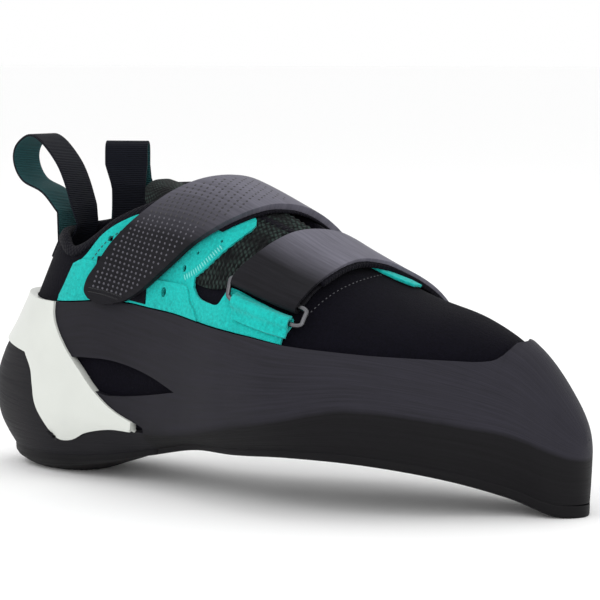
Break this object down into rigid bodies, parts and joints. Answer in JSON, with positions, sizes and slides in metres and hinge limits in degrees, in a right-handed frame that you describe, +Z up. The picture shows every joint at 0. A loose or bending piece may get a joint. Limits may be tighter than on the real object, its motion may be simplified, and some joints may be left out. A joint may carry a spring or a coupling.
{
  "type": "climbing shoe",
  "caption": "Downturned rock climbing shoe for the right foot: hollow suede upper, wrap-round rubber rand, white heel band, hook-and-loop straps, wire ring and pull loops.",
  "frame": {"origin": "middle of the heel's flat spot, on the floor that the shoe stands on", "axes": "+Z up, +Y to the toe, +X to the outer (lateral) side of the right foot"},
  "size_m": [0.0919, 0.252, 0.1296],
  "materials": {
    "suede_black": "black synthetic suede with a fine nap",
    "suede_teal": "bright teal suede with a fuzzy nap",
    "rubber": "matt sanded rubber",
    "sole_rubber": "matt sole rubber",
    "band_white": "smooth glossy white rubber",
    "strap": "dark grey laminate with raised dots",
    "mesh": "dark spacer mesh",
    "lining": "grey lining cloth",
    "hook_patch": "black loop pile",
    "ribbon": "ribbed woven ribbon",
    "ring_wire": "dark plated wire"
  },
  "bodies": {
    "root": {"upper": "suede_black", "quarter_lateral": "suede_teal", "quarter_medial": "suede_teal", "rand": "rubber", "heel_band": "band_white", "heel_cup": "rubber", "heel_sole": "sole_rubber", "outsole": "sole_rubber", "insole": "lining", "tongue": "mesh", "strap_patch": "hook_patch", "strap_top": "strap", "strap_lower": "strap", "ring": "ring_wire", "ring_tab": "suede_teal", "pull_loop_heel": "ribbon", "pull_loop_side": "ribbon"}
  },
  "joints": []
}
